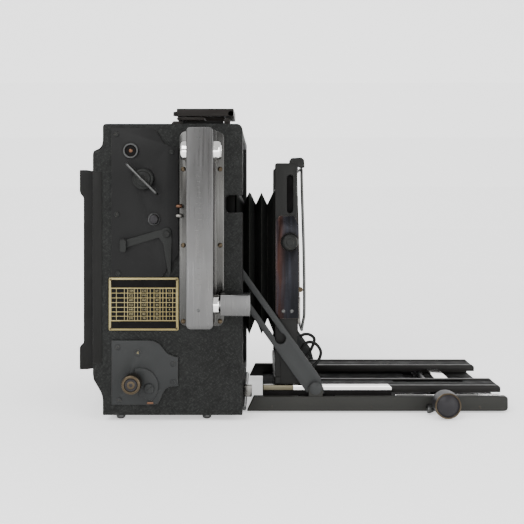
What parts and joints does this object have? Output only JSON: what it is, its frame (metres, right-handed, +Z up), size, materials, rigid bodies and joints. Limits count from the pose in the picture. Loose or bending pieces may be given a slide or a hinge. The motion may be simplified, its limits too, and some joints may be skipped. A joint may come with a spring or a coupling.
{
  "type": "folding press camera",
  "caption": "Folding 4x5 inch press camera with dropped bed, run-out bellows, bare lens board, slotted bed braces, side rangefinder and focal-plane shutter controls.",
  "frame": {"origin": "centre of the object's box, on the plane that the four feet stand on", "axes": "+X the way the lens board faces along the open bed, +Y the operator's left, +Z up"},
  "size_m": [0.305, 0.2264, 0.2188],
  "materials": {
    "leather": "matte",
    "wood_black": "satin",
    "strap_leather": "satin",
    "back_leather": "matte",
    "black_paint": "satin",
    "bed_alloy": "satin",
    "standard_alloy": "satin",
    "grey_plate": "satin",
    "satin_alloy": "satin",
    "track_alloy": "satin",
    "chrome": "polished",
    "steel": "satin",
    "brass": "satin",
    "knob_black": "satin",
    "mirror_glass": "polished",
    "ground_glass": "matte",
    "curtain_cloth": "matte",
    "bellows_cloth": "matte",
    "cable_rubber": "satin"
  },
  "bodies": {
    "root": {"side_panel_right": "leather", "side_panel_left": "leather", "top_panel": "leather", "bottom_panel": "wood_black", "tripod_bush": "steel", "foot_1": "steel", "foot_2": "steel", "foot_3": "steel", "foot_4": "steel", "shutter_frame": "black_paint", "shutter_front_plate": "black_paint", "shutter_curtain": "curtain_cloth", "upper_shutter_plate": "black_paint", "speed_table": "brass", "tension_plate": "grey_plate", "rangefinder_flange": "satin_alloy", "rangefinder_cover": "satin_alloy", "rangefinder_hood": "satin_alloy", "rangefinder_mirror": "mirror_glass", "rangefinder_swing_mirror": "mirror_glass", "finder_base": "black_paint", "hand_strap": "strap_leather", "strap_anchor_lower": "steel", "strap_anchor_upper": "steel", "bed_hinge_rod": "steel", "body_bar_end": "chrome", "bellows": "bellows_cloth"},
    "winding": {"winding_key": "steel"},
    "upper_roller": {"curtain_roller_upper": "steel"},
    "lower_roller": {"curtain_roller_lower": "steel"},
    "button": {"shutter_button": "black_paint"},
    "release": {"release_lever": "steel"},
    "tension": {"tension_knob": "steel"},
    "tension_release": {"tension_release_lever": "steel"},
    "finder_front": {"finder_front_frame": "black_paint"},
    "finder_rear": {"finder_rear_frame": "black_paint"},
    "back": {"back_frame": "back_leather", "ground_glass": "ground_glass"},
    "hood": {"hood_door": "black_paint"},
    "bed": {"bed_panel": "wood_black", "bed_rail_right": "bed_alloy", "bed_rail_left": "bed_alloy", "bed_bar": "chrome"},
    "link_right": {"brace_right": "steel"},
    "link_left": {"brace_left": "steel"},
    "track": {"track_rail_right": "track_alloy", "track_rail_left": "track_alloy", "track_front_bar": "track_alloy", "track_rear_bar": "track_alloy"},
    "pinion": {"pinion_shaft": "steel", "focus_knob": "knob_black"},
    "track_lock": {"track_lock_lever": "steel"},
    "standard": {"standard_frame": "standard_alloy", "release_cable": "cable_rubber"},
    "lens_rise": {"lens_panel": "standard_alloy", "lens_board": "standard_alloy"},
    "rise_lock_right": {"lock_knob_right": "steel"},
    "rise_lock_left": {"lock_knob_left": "steel"},
    "wire_frame": {"wire_frame_finder": "steel"}
  },
  "joints": [
    {"name": "winding_key_turn", "type": "hinge", "parent": "root", "child": "winding", "pos_m": [-0.1055, 0.0008, 0.1672], "axis": [0, 1, 0], "continuous": true},
    {"name": "upper_roller_turn", "type": "hinge", "parent": "root", "child": "upper_roller", "pos_m": [-0.1245, 0.0008, 0.18267], "axis": [0, 1, 0], "continuous": true},
    {"name": "lower_roller_turn", "type": "hinge", "parent": "root", "child": "lower_roller", "pos_m": [-0.1245, 0.0008, 0.0284], "axis": [0, 1, 0], "continuous": true},
    {"name": "shutter_button_press", "type": "slide", "parent": "root", "child": "button", "axis": [0, 1, 0], "range_m": [0, 0.0015], "stiffness_N_per_m": 80},
    {"name": "release_lever_press", "type": "hinge", "parent": "root", "child": "release", "pos_m": [-0.089, 0.0008, 0.1294], "axis": [0, 1, 0], "range_deg": [0, 7], "stiffness_Nm_per_rad": 0.05},
    {"name": "tension_knob_turn", "type": "hinge", "parent": "root", "child": "tension", "pos_m": [-0.112, 0.0008, 0.0285], "axis": [0, 1, 0], "continuous": true},
    {"name": "tension_lever_press", "type": "hinge", "parent": "root", "child": "tension_release", "pos_m": [-0.1013, 0.0008, 0.0237], "axis": [0, 1, 0], "range_deg": [0, 9], "stiffness_Nm_per_rad": 0.05},
    {"name": "finder_front_raise", "type": "hinge", "parent": "root", "child": "finder_front", "pos_m": [-0.0465, -0.0392, 0.2152], "axis": [0, 1, 0], "range_deg": [0, 90]},
    {"name": "finder_rear_raise", "type": "hinge", "parent": "root", "child": "finder_rear", "pos_m": [-0.0841, -0.0392, 0.2115], "axis": [0, 1, 0], "range_deg": [-90, 0]},
    {"name": "back_spring_open", "type": "slide", "parent": "root", "child": "back", "axis": [-1, 0, 0], "range_m": [0, 0.012], "stiffness_N_per_m": 900},
    {"name": "hood_open", "type": "hinge", "parent": "back", "child": "hood", "pos_m": [-0.1507, 0.0008, 0.1526], "axis": [0, 1, 0], "range_deg": [0, 95]},
    {"name": "bed_fold", "type": "hinge", "parent": "root", "child": "bed", "pos_m": [-0.0367, 0.0008, 0.0029], "axis": [0, -1, 0], "range_deg": [0, 5], "deforming": ["bellows"]},
    {"name": "brace_right_swing", "type": "hinge", "parent": "bed", "child": "link_right", "pos_m": [0.0145, -0.0612, 0.0176], "axis": [0, -1, 0], "range_deg": [-5, 0]},
    {"name": "brace_left_swing", "type": "hinge", "parent": "bed", "child": "link_left", "pos_m": [0.0145, 0.0628, 0.0176], "axis": [0, -1, 0], "range_deg": [-5, 0]},
    {"name": "focus_track", "type": "slide", "parent": "bed", "child": "track", "axis": [1, 0, 0], "range_m": [0, 0.04], "deforming": ["bellows"]},
    {"name": "focus_pinion", "type": "hinge", "parent": "bed", "child": "pinion", "pos_m": [0.1048, 0.0008, 0.0102], "axis": [0, 1, 0], "range_deg": [0, 573]},
    {"name": "track_lock_turn", "type": "hinge", "parent": "bed", "child": "track_lock", "pos_m": [0.0955, -0.0682, 0.0044], "axis": [0, 1, 0], "range_deg": [-30, 30]},
    {"name": "standard_slide", "type": "slide", "parent": "track", "child": "standard", "axis": [1, 0, 0], "range_m": [-0.012, 0.12], "deforming": ["bellows"]},
    {"name": "lens_rise_slide", "type": "slide", "parent": "standard", "child": "lens_rise", "axis": [0, 0, 1], "range_m": [0, 0.012], "deforming": ["bellows"]},
    {"name": "rise_lock_right_turn", "type": "hinge", "parent": "standard", "child": "rise_lock_right", "pos_m": [-0.0038, -0.0592, 0.1224], "axis": [0, 1, 0], "range_deg": [0, 90]},
    {"name": "rise_lock_left_turn", "type": "hinge", "parent": "standard", "child": "rise_lock_left", "pos_m": [-0.0038, 0.0608, 0.1224], "axis": [0, 1, 0], "range_deg": [0, 90]},
    {"name": "wire_frame_fold", "type": "hinge", "parent": "standard", "child": "wire_frame", "pos_m": [0.0051, 0.0008, 0.0578], "axis": [0, 1, 0], "range_deg": [0, 90]}
  ],
  "couplings": [
    {"joint": "upper_roller_turn", "follows": "winding_key_turn", "ratio": -2.0625},
    {"joint": "finder_rear_raise", "follows": "finder_front_raise", "ratio": -1},
    {"joint": "brace_right_swing", "follows": "bed_fold", "ratio": -0.828},
    {"joint": "brace_left_swing", "follows": "bed_fold", "ratio": -0.828},
    {"joint": "focus_pinion", "follows": "focus_track", "rad_per_m": 250}
  ]
}
